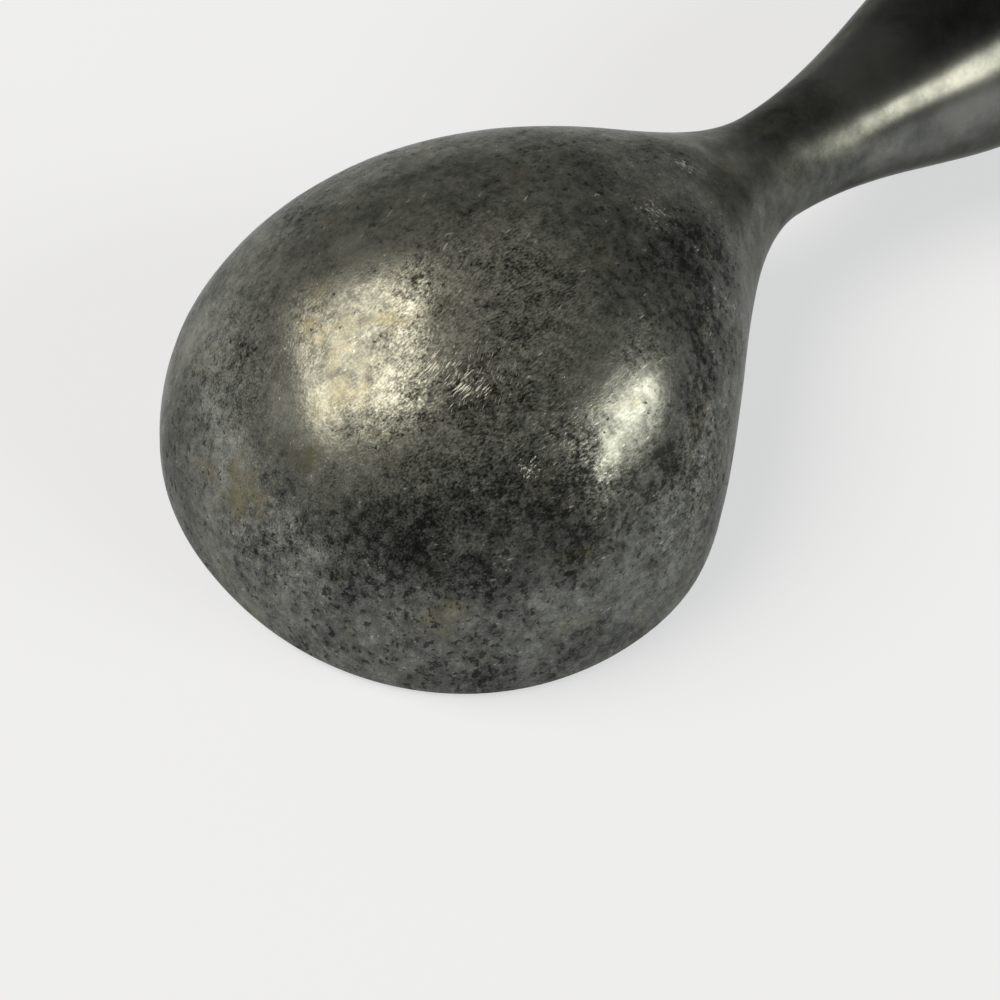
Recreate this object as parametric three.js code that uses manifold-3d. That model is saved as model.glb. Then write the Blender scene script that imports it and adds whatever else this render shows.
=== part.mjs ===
// Ice cream scoop: one aluminium casting with a round bowl, a narrow neck and a hollow handle.
// The handle holds a liquid that carries the warmth of the hand to the bowl, behind a sealed plug.
// The scoop lies mouth down, with its rim and the swell of its handle on the table at z = 0.
// Millimetres. +X runs from the bowl to the butt of the handle, +Z points up.
import * as THREE from 'three';
import { mergeVertices } from 'three/addons/utils/BufferGeometryUtils.js';
import Module from 'manifold-3d';

const wasm = await Module();
wasm.setup();

// Bowl, measured along X from its widest section
const bowlWidth = 62; // across the rim
const noseReach = 28.8; // forward to the tip of the rim
const noseFullness = 2.12; // exponent of the rim's outline at the nose, 2 is an ellipse
const heelReach = 28; // back to where the rim ends under the neck
const domeHeight = 31; // rim to crown
const crownSetback = 7.5; // back to the crown
const crownHold = 1.2; // above 1, the back stays high for longer before it falls to the neck
const lipThickness = 2; // flat land round the mouth
const crownWall = 3.5; // metal over the hollow at the crown

// Neck and handle, turned about one axis that is level with the table
const neckReach = 47; // from the bowl's widest section to the narrowest part of the neck
const neckDiameter = 12.6;
const shoulderHold = 1.08; // above 1, the shoulders stay wide for longer before they draw in
const handleDiameter = 27.6; // at the swell
const flareLength = 45; // from the neck to the swell
const swellLength = 14; // stretch of even diameter
const taperLength = 45; // from the swell to the end face
const buttTaper = 3.6; // how much thinner the handle is at its end face than at the swell

// Bore for the liquid, open at the end face
const buttLand = 2.4; // width of the end face round the bore
const solidNeck = 24; // solid metal from the neck to the tip of the bore
const boreDraft = 2.2; // degrees

// Plug, seal and liquid
const plugHeadLength = 5.5;
const plugHeadRound = 3.5; // edge radius of the head
const spigotLength = 14; // stretch of the plug inside the bore
const spigotChamfer = 1;
const seatSpare = 4; // parallel bore past the spigot, before the draft begins
const sealSection = 2; // thickness of the round rubber ring
const airHeight = 5; // room over the liquid, below the top of the parallel bore
const fitGap = 0.3; // clearance between fitted pieces

// Facets
const ringSides = 56;
const hollowSides = 44;
const turnedSides = 48;
const sealSides = 12;
const noseSteps = 12;
const crownSteps = 4;
const shoulderSteps = 13;
const flareSteps = 12;
const taperSteps = 5;
const hollowSteps = 11;
const roundSteps = 6;
const weldDistance = 1e-4;

// Places and radii that follow from the sizes above
const rightAngle = Math.PI / 2;
const axisHeight = handleDiameter / 2; // the swell of the handle touches the table
const neckRadius = neckDiameter / 2;
const swellEnd = flareLength + swellLength;
const handleLength = swellEnd + taperLength;
const endFaceX = neckReach + handleLength;
const buttRadius = (handleDiameter - buttTaper) / 2;
const boreRadius = buttRadius - buttLand;
const spigotEndX = endFaceX - spigotLength;
const sealX = endFaceX - spigotLength / 2; // the ring sits in the middle of the spigot

// Half a cosine wave from 0 to 1, level at both ends
function ease(t) {
  const held = THREE.MathUtils.clamp(t, 0, 1);
  return 0.5 - 0.5 * Math.cos(Math.PI * held);
}

// The same wave, held back at its start by an exponent above 1
function heldEase(t, hold) {
  return ease(Math.pow(Math.max(t, 0), hold));
}

// Quarter of a superellipse: 1 at u = 0, falling to 0 at u = 1
function quarter(u, exponent) {
  const held = THREE.MathUtils.clamp(u, 0, 1);
  return Math.pow(1 - Math.pow(held, exponent), 1 / exponent);
}

function mix(from, to, t) {
  return from + (to - from) * t;
}

// Values from one end to the other, without the first
function spread(from, to, steps) {
  return Array.from({ length: steps }, (_, i) => mix(from, to, (i + 1) / steps));
}

// Angles and sides of a ring's points, with the sine exact where it crosses zero
function ringAngles(sides) {
  return Array.from({ length: sides }, (_, j) => {
    const angle = (2 * Math.PI * j) / sides;
    const onLevel = (2 * j) % sides === 0;
    return { cosine: Math.cos(angle), sine: onLevel ? 0 : Math.sin(angle) };
  });
}

// Closed skin over rings of equal count, drawn to a point at each end
function loft(rings, firstPoint, lastPoint) {
  const sides = rings[0].length;
  const points = [...rings.flat(), firstPoint, lastPoint];
  const first = points.length - 2;
  const last = points.length - 1;
  const end = (rings.length - 1) * sides;
  const index = [];
  for (let j = 0; j < sides; j++) {
    const k = (j + 1) % sides;
    index.push(first, k, j);
    for (let near = 0; near < end; near += sides) {
      const far = near + sides;
      index.push(near + j, near + k, far + k, near + j, far + k, far + j);
    }
    index.push(last, end + j, end + k);
  }
  const geometry = new THREE.BufferGeometry().setFromPoints(points);
  geometry.setIndex(index);
  return geometry;
}

// Solid turned about the X axis from a profile of (radius, x) points
function turn(profile) {
  const geometry = new THREE.LatheGeometry(profile, turnedSides);
  return geometry.rotateZ(-rightAngle);
}

// Angles along a quarter round
function quarterRound() {
  return [0, ...spread(0, rightAngle, roundSteps)];
}

function toSolid(geometry) {
  const bare = geometry.clone();
  bare.deleteAttribute('normal');
  bare.deleteAttribute('uv');
  const merged = mergeVertices(bare, weldDistance);
  const vertProperties = new Float32Array(merged.attributes.position.array);
  const triVerts = new Uint32Array(merged.index.array);
  return new wasm.Manifold(new wasm.Mesh({ numProp: 3, vertProperties, triVerts }));
}

function toGeometry(solid) {
  const mesh = solid.getMesh();
  const geometry = new THREE.BufferGeometry();
  geometry.setAttribute('position', new THREE.BufferAttribute(mesh.vertProperties, 3));
  geometry.setIndex(new THREE.BufferAttribute(mesh.triVerts, 1));
  geometry.computeVertexNormals();
  return geometry;
}

// Half width of the bowl and shoulders at x, where they are widest
function shoulderWidth(x) {
  const halfWidth = bowlWidth / 2;
  return x < 0
    ? halfWidth * quarter(-x / noseReach, noseFullness)
    : mix(halfWidth, neckRadius, heldEase(x / neckReach, shoulderHold));
}

// Height of the back at x: a quarter ellipse over the nose, then a long fall to the neck
function crownHeight(x) {
  return x < crownSetback
    ? domeHeight * quarter((crownSetback - x) / (crownSetback + noseReach), 2)
    : mix(
        domeHeight,
        axisHeight + neckRadius,
        heldEase((x - crownSetback) / (neckReach - crownSetback), crownHold),
      );
}

// Share of a ring's lower points that lie on the tucked-in wall, with the rest on the flat underside
function tuckShare(x) {
  if (x <= 0) {
    return 0; // the wall is widest at the rim itself
  }
  return x < heelReach ? 0.5 : 1; // past the heel the underside is round
}

// Ring of the bowl: a domed back, a wall that tucks in below its widest place, and a flat underside
function bowlRing(x) {
  const widest = shoulderWidth(x);
  const crown = crownHeight(x);
  const rim = x < 0 ? widest : Math.min(widest, (bowlWidth / 2) * quarter(x / heelReach, 2));
  const widestHeight = axisHeight * ease(x / neckReach);
  const bottom = (axisHeight - neckRadius) * ease((x - heelReach) / (neckReach - heelReach));
  const share = tuckShare(x);
  return ringAngles(ringSides).map(({ cosine, sine }) => {
    if (sine >= 0) {
      return new THREE.Vector3(x, widest * cosine, mix(widestHeight, crown, sine));
    }
    const along = Math.asin(-sine) / rightAngle;
    const tuck = Math.min(along / share, 1) * rightAngle;
    const flat = along > share ? (along - share) / (1 - share) : 0;
    const y = mix(rim, widest, Math.cos(tuck)) * (1 - flat);
    return new THREE.Vector3(x, Math.sign(cosine) * y, mix(widestHeight, bottom, Math.sin(tuck)));
  });
}

// Ring of the handle at a distance from the neck: flare, even swell, then a taper to the butt
function handleRing(distance) {
  const taper = Math.max((distance - swellEnd) / taperLength, 0);
  const lost = (buttTaper / 2) * (1 - Math.cos(taper * rightAngle));
  const radius = mix(neckRadius, handleDiameter / 2, ease(distance / flareLength)) - lost;
  return ringAngles(ringSides).map(({ cosine, sine }) => {
    return new THREE.Vector3(neckReach + distance, radius * cosine, axisHeight + radius * sine);
  });
}

// Bowl, neck and handle as one skin, before it is hollowed
function castingSkin() {
  const bowlStations = [
    ...spread(rightAngle, 0, noseSteps).map((angle) => -noseReach * Math.sin(angle)),
    ...spread(0, crownSetback, crownSteps),
    ...spread(crownSetback, neckReach, shoulderSteps),
  ];
  const handleStations = [
    ...spread(0, flareLength, flareSteps),
    swellEnd,
    ...spread(swellEnd, handleLength, taperSteps),
  ];
  const rings = [...bowlStations.map(bowlRing), ...handleStations.map(handleRing)];
  const noseTip = new THREE.Vector3(-noseReach, 0, 0);
  const buttCentre = new THREE.Vector3(endFaceX, 0, axisHeight);
  return loft(rings, noseTip, buttCentre);
}

// Egg whose upper half is the inside of the bowl, a lip's thickness inside the rim and the shoulders
function bowlHollow() {
  const nose = noseReach - lipThickness;
  const heel = heelReach - lipThickness;
  const halfWidth = bowlWidth / 2 - lipThickness;
  const height = domeHeight - crownWall;
  const ringAt = (x) => {
    const width = x < 0
      ? halfWidth * quarter(-x / nose, noseFullness)
      : Math.min(halfWidth * quarter(x / heel, 2), shoulderWidth(x) - lipThickness);
    const rise = x < crownSetback
      ? height * quarter((crownSetback - x) / (crownSetback + nose), 2)
      : height * quarter((x - crownSetback) / (heel - crownSetback), 2);
    return ringAngles(hollowSides).map(({ cosine, sine }) => {
      return new THREE.Vector3(x, width * cosine, rise * sine);
    });
  };
  const forward = spread(rightAngle, 0, hollowSteps).map((angle) => -nose * Math.sin(angle));
  const backward = spread(0, rightAngle, hollowSteps).slice(0, -1).map((angle) => heel * Math.sin(angle));
  const noseTip = new THREE.Vector3(-nose, 0, 0);
  const heelTip = new THREE.Vector3(heel, 0, 0);
  return loft([...forward, ...backward].map(ringAt), noseTip, heelTip);
}

// Half profile of the bore, drawn in by a clearance: round tip, draft, then parallel up to a given x
function boreProfile(inset, toX) {
  const slope = Math.tan(THREE.MathUtils.degToRad(boreDraft));
  const tipX = neckReach + solidNeck;
  const parallelX = spigotEndX - seatSpare;
  const tipRadius = (boreRadius - slope * (parallelX - tipX)) / (1 - slope);
  const tip = quarterRound().map((angle) => {
    const radius = (tipRadius - inset) * Math.sin(angle);
    return new THREE.Vector2(radius, tipX + tipRadius - (tipRadius - inset) * Math.cos(angle));
  });
  return [
    ...tip,
    new THREE.Vector2(boreRadius - inset, parallelX),
    new THREE.Vector2(boreRadius - inset, toX),
    new THREE.Vector2(0, toX),
  ];
}

function scoopCasting() {
  const overshoot = 2; // past the end face, for a clean cut
  const bore = turn(boreProfile(0, endFaceX + overshoot)).translate(0, 0, axisHeight);
  const hollowed = toSolid(castingSkin()).subtract(toSolid(bowlHollow())).subtract(toSolid(bore));
  return toGeometry(hollowed);
}

// Round-edged head that meets the butt, over a spigot with a groove for the seal
function endPlug() {
  const spigotRadius = boreRadius - fitGap;
  const grooveRadius = boreRadius - sealSection - 2 * fitGap;
  const grooveHalf = sealSection / 2 + fitGap;
  const seatX = endFaceX + fitGap;
  const headEndX = seatX + plugHeadLength;
  const headRound = Math.min(plugHeadRound, plugHeadLength);
  const headEdge = quarterRound().map((angle) => {
    const radius = buttRadius - headRound * (1 - Math.cos(angle));
    return new THREE.Vector2(radius, headEndX - headRound * (1 - Math.sin(angle)));
  });
  return turn([
    new THREE.Vector2(0, spigotEndX),
    new THREE.Vector2(spigotRadius - spigotChamfer, spigotEndX),
    new THREE.Vector2(spigotRadius, spigotEndX + spigotChamfer),
    new THREE.Vector2(spigotRadius, sealX - grooveHalf),
    new THREE.Vector2(grooveRadius, sealX - grooveHalf),
    new THREE.Vector2(grooveRadius, sealX + grooveHalf),
    new THREE.Vector2(spigotRadius, sealX + grooveHalf),
    new THREE.Vector2(spigotRadius, seatX),
    new THREE.Vector2(buttRadius, seatX),
    ...headEdge,
    new THREE.Vector2(0, headEndX),
  ]);
}

// Rubber ring between the groove and the bore
function plugSeal() {
  const ringRadius = boreRadius - fitGap - sealSection / 2;
  const geometry = new THREE.TorusGeometry(ringRadius, sealSection / 2, sealSides, turnedSides);
  return geometry.rotateY(rightAngle).translate(sealX, 0, 0);
}

// Liquid that fills the bore up to a level surface, with air above it
function heatFluid() {
  const body = turn(boreProfile(fitGap, spigotEndX - fitGap));
  const level = boreRadius - airHeight;
  const span = 2 * endFaceX; // more than covers the bore
  const air = new THREE.BoxGeometry(span, span, span).translate(endFaceX, 0, level + span / 2);
  return toGeometry(toSolid(body).subtract(toSolid(air)));
}

function piece(name, geometry, color, roughness, metalness) {
  const material = new THREE.MeshStandardMaterial({ color, roughness, metalness });
  const mesh = new THREE.Mesh(geometry, material);
  mesh.name = name;
  return mesh;
}

// Pieces on the handle's axis share one group at its height
const onAxis = new THREE.Group();
onAxis.position.z = axisHeight;
onAxis.add(piece('heat_fluid', heatFluid(), 0xc9b26a, 0.1, 0));
onAxis.add(piece('plug_seal', plugSeal(), 0x1c1c1c, 0.8, 0));
onAxis.add(piece('end_plug', endPlug(), 0x9a9a97, 0.35, 1));

// The origin is on the table, under the middle of the length
const scoop = new THREE.Group();
scoop.name = 'ice_cream_scoop';
scoop.position.x = (noseReach - endFaceX - fitGap - plugHeadLength) / 2;
scoop.add(piece('scoop_casting', scoopCasting(), 0x6f6f6b, 0.4, 1));
scoop.add(onAxis);

export default scoop;
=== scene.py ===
import math
import bmesh
import bpy
from mathutils import Matrix, Vector, noise


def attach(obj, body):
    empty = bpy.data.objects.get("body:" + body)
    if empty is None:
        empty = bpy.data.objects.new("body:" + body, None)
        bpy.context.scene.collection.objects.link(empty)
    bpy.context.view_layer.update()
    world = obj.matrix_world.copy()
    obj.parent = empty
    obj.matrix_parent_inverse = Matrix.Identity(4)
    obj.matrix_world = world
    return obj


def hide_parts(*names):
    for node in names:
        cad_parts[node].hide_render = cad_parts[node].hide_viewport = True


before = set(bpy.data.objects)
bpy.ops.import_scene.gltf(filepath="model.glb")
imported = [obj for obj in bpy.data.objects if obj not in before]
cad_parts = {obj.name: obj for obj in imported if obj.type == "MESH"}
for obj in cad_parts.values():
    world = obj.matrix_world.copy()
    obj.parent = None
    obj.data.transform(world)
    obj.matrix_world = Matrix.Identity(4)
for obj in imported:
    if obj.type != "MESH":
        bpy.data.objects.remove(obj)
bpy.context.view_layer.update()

print("frame loaded:", len(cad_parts), "nodes")

# pieces are modelled in mm, x measured back from the bowl's widest section, and set into the frame at the end
bowlPlaceX = -64.0
toFrame = Matrix.Scale(0.001, 4) @ Matrix.Translation((bowlPlaceX, 0, 0))
quarterTurn = math.pi / 2
weldGap = 0.0005  # mm, points closer than this become one


def hexColour(text):
    channels = [int(text[i:i + 2], 16) / 255 for i in (1, 3, 5)]
    linear = [c / 12.92 if c <= 0.04045 else ((c + 0.055) / 1.055) ** 2.4 for c in channels]
    return (*linear, 1.0)


def addNode(tree, kind, settings, inputs):
    node = tree.nodes.new(kind)
    for name, value in settings.items():
        setattr(node, name, value)
    for key, value in inputs.items():
        if isinstance(value, bpy.types.NodeSocket):
            tree.links.new(value, node.inputs[key])
        else:
            node.inputs[key].default_value = value
    return node


def startMaterial(name):
    material = bpy.data.materials.new(name)
    material.use_nodes = True
    tree = material.node_tree
    tree.nodes.clear()
    coordinates = addNode(tree, "ShaderNodeTexCoord", {}, {})
    inMm = addNode(tree, "ShaderNodeMapping", {}, {
        "Vector": coordinates.outputs["Object"], "Scale": (1000, 1000, 1000)})
    return material, tree, inMm.outputs["Vector"]


def finishMaterial(tree, shaderInputs):
    shader = addNode(tree, "ShaderNodeBsdfPrincipled", {}, shaderInputs)
    addNode(tree, "ShaderNodeOutputMaterial", {}, {"Surface": shader.outputs["BSDF"]})


def finishPiece(name, bm, material, node):
    bmesh.ops.remove_doubles(bm, verts=bm.verts, dist=weldGap)
    bmesh.ops.recalc_face_normals(bm, faces=bm.faces)
    openEdges = sum(1 for edge in bm.edges if not edge.is_manifold)
    bmesh.ops.transform(bm, matrix=toFrame, verts=bm.verts)
    for face in bm.faces:
        face.smooth = True
    mesh = bpy.data.meshes.new(name)
    bm.to_mesh(mesh)
    bm.free()
    piece = bpy.data.objects.new(name, mesh)
    bpy.context.scene.collection.objects.link(piece)
    mesh.materials.append(material)
    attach(piece, "root")
    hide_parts(node)
    print("made", name, len(mesh.polygons), "faces,", openEdges, "open edges")


# casting: bowl, neck and hollow handle in one piece of metal

castingShape = {
    "halfWidth": 31.0, "noseReach": 28.8, "noseFullness": 2.12, "heelReach": 28.0,
    "domeHeight": 31.0, "crownSetback": 7.5, "crownHold": 1.2, "shoulderHold": 1.08,
    "lipThickness": 2.0, "crownWall": 3.5, "lipRound": 0.8, "roundFadeFrom": 14.0, "roundFadeTo": 22.0,
    "neckReach": 47.0, "neckRadius": 6.3, "handleRadius": 13.8,
    "flareLength": 45.0, "swellEnd": 59.0, "taperLength": 45.0, "buttLoss": 1.8, "buttRound": 0.6,
    "boreRadius": 9.6, "boreTip": 71.0, "boreTipRadius": 7.51, "boreParallel": 133.0, "boreChamfer": 0.3,
    "noseTurns": 128, "domeSteps": 56, "heelSteps": 26, "neckSteps": 22, "handleSteps": 72,
    "roundSteps": 5, "hollowSteps": 44, "innerPole": 4.0, "boreSteps": 4, "taperSteps": 6, "tipSteps": 8,
    "waveSize": 9.0, "waveDepth": 0.07, "rippleSize": 3.5, "rippleDepth": 0.02, "calmFrom": 1.0, "calmOver": 4.0,
}


def clamp(t):
    return min(max(t, 0.0), 1.0)


def mix(a, b, t):
    return a + (b - a) * t


def ease(t):
    return 0.5 - 0.5 * math.cos(math.pi * clamp(t))


def heldEase(t, hold):
    return ease(max(t, 0.0) ** hold)


def quarter(u, exponent):
    return (1 - clamp(u) ** exponent) ** (1 / exponent)


def shoulderWidth(s, x):
    if x < 0:
        return s["halfWidth"] * quarter(-x / s["noseReach"], s["noseFullness"])
    return mix(s["halfWidth"], s["neckRadius"], heldEase(x / s["neckReach"], s["shoulderHold"]))


def crownHeight(s, x):
    back = s["crownSetback"]
    if x < back:
        return s["domeHeight"] * quarter((back - x) / (back + s["noseReach"]), 2)
    fall = heldEase((x - back) / (s["neckReach"] - back), s["crownHold"])
    return mix(s["domeHeight"], s["handleRadius"] + s["neckRadius"], fall)


def handleRadius(s, x):
    along = x - s["neckReach"]
    taper = max((along - s["swellEnd"]) / s["taperLength"], 0.0)
    lost = s["buttLoss"] * (1 - math.cos(taper * quarterTurn))
    return mix(s["neckRadius"], s["handleRadius"], ease(along / s["flareLength"])) - lost


def leaveRoom(z, edge):
    # squeezes the foot of a wall, three edge rounds high, up to where the round ends
    return z if z >= 3 * edge else edge + z * 2 / 3


def liftOffRim(s, x, z):
    # leaves room under the wall for the rounded edge of the lip, which fades out towards the heel
    fade = ease((x - s["roundFadeFrom"]) / (s["roundFadeTo"] - s["roundFadeFrom"]))
    return leaveRoom(z, s["lipRound"] * (1 - fade))


def nosePoint(s, u, v):
    turn = -math.pi * u
    reach = math.sin((1 - v) * quarterTurn)
    x = s["noseReach"] * math.sin(turn) * reach
    rimY = s["halfWidth"] * quarter(abs(math.sin(turn)), s["noseFullness"])
    y = math.copysign(rimY, math.cos(turn)) * reach
    share = clamp(abs(y) / max(shoulderWidth(s, x), 1e-9))
    z = crownHeight(s, x) * math.sqrt(1 - share * share)
    return Vector((x, y, liftOffRim(s, x, 0.0 if v < 1e-6 else z)))


def backPoint(s, x, v):
    axis = s["handleRadius"]
    if x > s["neckReach"]:
        widest = handleRadius(s, x)
        top, level, rim, under = axis + widest, axis, 0.0, axis - widest
    else:
        widest = shoulderWidth(s, x)
        top = crownHeight(s, x)
        level = axis * ease(x / s["neckReach"])
        rim = min(widest, s["halfWidth"] * quarter(x / s["heelReach"], 2))
        neckUnder = axis - s["neckRadius"]
        under = neckUnder * ease((x - s["heelReach"]) / (s["neckReach"] - s["heelReach"]))
    lowerArc = math.hypot(widest - rim, level - under)
    upperArc = math.hypot(widest, top - level)
    share = 0.5 * lowerArc / (lowerArc + upperArc)
    side = 1 if v <= 0.5 else -1
    climb = v if v <= 0.5 else 1 - v
    if climb < share:
        angle = quarterTurn * climb / share
        y = mix(rim, widest, math.sin(angle))
        z = mix(level, under, math.cos(angle))
    else:
        angle = quarterTurn * (climb - share) / (0.5 - share)
        y = widest * math.cos(angle)
        z = mix(level, top, math.sin(angle))
    return Vector((x, side * y, liftOffRim(s, x, z) if x < s["heelReach"] else z))


def rimPoint(s, turn, inset):
    along, across = math.sin(turn), math.cos(turn)
    if along < 0:
        x = (s["noseReach"] - inset) * along
        y = (s["halfWidth"] - inset) * quarter(-along, s["noseFullness"])
    else:
        x = (s["heelReach"] - inset) * along
        y = min((s["halfWidth"] - inset) * abs(across), shoulderWidth(s, x) - inset)
    return Vector((x, math.copysign(y, across), 0))


def hollowHeight(s, x, y):
    lip, back = s["lipThickness"], s["crownSetback"]
    nose, heel, half = s["noseReach"] - lip, s["heelReach"] - lip, s["halfWidth"] - lip
    rise = s["domeHeight"] - s["crownWall"]
    if x < 0:
        width = half * quarter(-x / nose, s["noseFullness"])
    else:
        width = min(half * quarter(x / heel, 2), shoulderWidth(s, x) - lip)
    reach = back + nose if x < back else heel - back
    share = clamp(abs(y) / max(width, 1e-9))
    return rise * quarter(abs(x - back) / reach, 2) * math.sqrt(1 - share * share)


def lipAndHollow(s, turn, step):
    # one point of the ring that is so many steps in from the wall: edge round, land, inner round, inside of the bowl
    outer, inner = rimPoint(s, turn, 0), rimPoint(s, turn, s["lipThickness"])
    inward = (inner - outer).normalized()
    outerRound = liftOffRim(s, outer.x, 0.0)
    steps = s["roundSteps"]
    if step <= steps:
        angle = quarterTurn * step / steps
        rise = Vector((0, 0, outerRound * (1 - math.sin(angle))))
        return outer + inward * outerRound * (1 - math.cos(angle)) + rise
    innerRound = s["lipRound"]
    if step <= 2 * steps + 1:
        angle = quarterTurn * (step - steps - 1) / steps
        rise = Vector((0, 0, innerRound * (1 - math.cos(angle))))
        return inner - inward * innerRound * (1 - math.sin(angle)) + rise
    pole = Vector((s["innerPole"], 0, 0))
    climb = (step - 2 * steps - 1) / s["hollowSteps"]
    spot = pole + (inner - pole) * math.cos(climb * quarterTurn)
    spot.z = leaveRoom(hollowHeight(s, spot.x, spot.y), innerRound)
    return spot


def buttAndBore(s):
    # (x, radius) of the rings that close the butt and line the bore, from the outer edge to the blind tip
    end = s["neckReach"] + s["swellEnd"] + s["taperLength"]
    outer, edge = s["handleRadius"] - s["buttLoss"], s["buttRound"]
    bore, tip, chamfer = s["boreRadius"], s["boreTipRadius"], s["boreChamfer"]
    rings = []
    for step in range(1, s["roundSteps"] + 1):
        angle = quarterTurn * step / s["roundSteps"]
        rings.append((end - edge * (1 - math.sin(angle)), outer - edge * (1 - math.cos(angle))))
    rings += [(end, bore + chamfer), (end - chamfer, bore)]
    for step in range(1, s["boreSteps"] + 1):
        rings.append((mix(end, s["boreParallel"], step / s["boreSteps"]), bore))
    for step in range(1, s["taperSteps"] + 1):
        along = step / s["taperSteps"]
        rings.append((mix(s["boreParallel"], s["boreTip"] + tip, along), mix(bore, tip, along)))
    for step in range(1, s["tipSteps"] + 1):
        angle = step * quarterTurn / s["tipSteps"]
        rings.append((s["boreTip"] + tip * (1 - math.sin(angle)), tip * math.cos(angle)))
    return rings


def extrudeRing(bm, edges):
    made = bmesh.ops.extrude_edge_only(bm, edges=edges)["geom"]
    ring = [g for g in made if isinstance(g, bmesh.types.BMVert)]
    return ring, [g for g in made if isinstance(g, bmesh.types.BMEdge)]


def scoopCasting(s, material):
    bm = bmesh.new()
    turnOf = bm.verts.layers.float.new("turn")  # where a point of the rim is on its way round the mouth

    # nose: a grid drawn over the front of the dome, one edge on the rim and the other gathered at the top
    bmesh.ops.create_grid(bm, x_segments=s["noseTurns"], y_segments=s["domeSteps"], size=0.5)
    for vert in bm.verts:
        u, v = vert.co.x + 0.5, vert.co.y + 0.5
        vert[turnOf] = -math.pi * u
        vert.co = nosePoint(s, u, v)

    # back, shoulders, neck and handle: a grid wrapped round, its long edges on the rim and then joined underneath
    heelEdge = [s["heelReach"] * math.sin(i * quarterTurn / s["heelSteps"]) for i in range(s["heelSteps"] + 1)]
    neckLength = s["neckReach"] - s["heelReach"]
    neck = [s["heelReach"] + neckLength * (i + 1) / s["neckSteps"] for i in range(s["neckSteps"])]
    handleLength = s["swellEnd"] + s["taperLength"] - s["buttRound"]
    handle = [s["neckReach"] + handleLength * (i + 1) / s["handleSteps"] for i in range(s["handleSteps"])]
    stations = heelEdge + neck + handle
    grid = bmesh.ops.create_grid(bm, x_segments=len(stations) - 1, y_segments=2 * s["domeSteps"], size=0.5)
    for vert in grid["verts"]:
        x = stations[round((vert.co.x + 0.5) * (len(stations) - 1))]
        v = vert.co.y + 0.5
        aside = math.asin(clamp(x / s["heelReach"]))
        vert[turnOf] = aside if v < 0.5 else math.pi - aside
        vert.co = backPoint(s, x, v)
    bmesh.ops.remove_doubles(bm, verts=bm.verts, dist=weldGap)

    # lip and hollow: the rim is drawn inwards ring by ring up to the top of the inside
    openEdges = [edge for edge in bm.edges if edge.is_boundary]
    rim = [edge for edge in openEdges if edge.verts[0].co.x < s["neckReach"]]
    butt = [edge for edge in openEdges if edge.verts[0].co.x > s["neckReach"]]
    for step in range(1, 2 * s["roundSteps"] + 2 + s["hollowSteps"]):
        ring, rim = extrudeRing(bm, rim)
        for vert in ring:
            vert.co = lipAndHollow(s, vert[turnOf], step)

    # butt and bore
    for x, radius in buttAndBore(s):
        ring, butt = extrudeRing(bm, butt)
        for vert in ring:
            arm = Vector((0, vert.co.y, vert.co.z - s["handleRadius"])).normalized()
            vert.co = Vector((x, 0, s["handleRadius"])) + arm * radius

    # hand-dressed skin: a slow wave and a finer ripple, none at the rim
    bmesh.ops.remove_doubles(bm, verts=bm.verts, dist=weldGap)
    bmesh.ops.recalc_face_normals(bm, faces=bm.faces)
    bm.normal_update()
    for vert in bm.verts:
        calm = ease((vert.co.z - s["calmFrom"]) / s["calmOver"])
        wave = noise.noise(vert.co / s["waveSize"]) * s["waveDepth"]
        ripple = noise.noise(vert.co / s["rippleSize"]) * s["rippleDepth"]
        vert.co += vert.normal * calm * (wave + ripple)
    finishPiece("tarnished_casting", bm, material, "scoop_casting")


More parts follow.
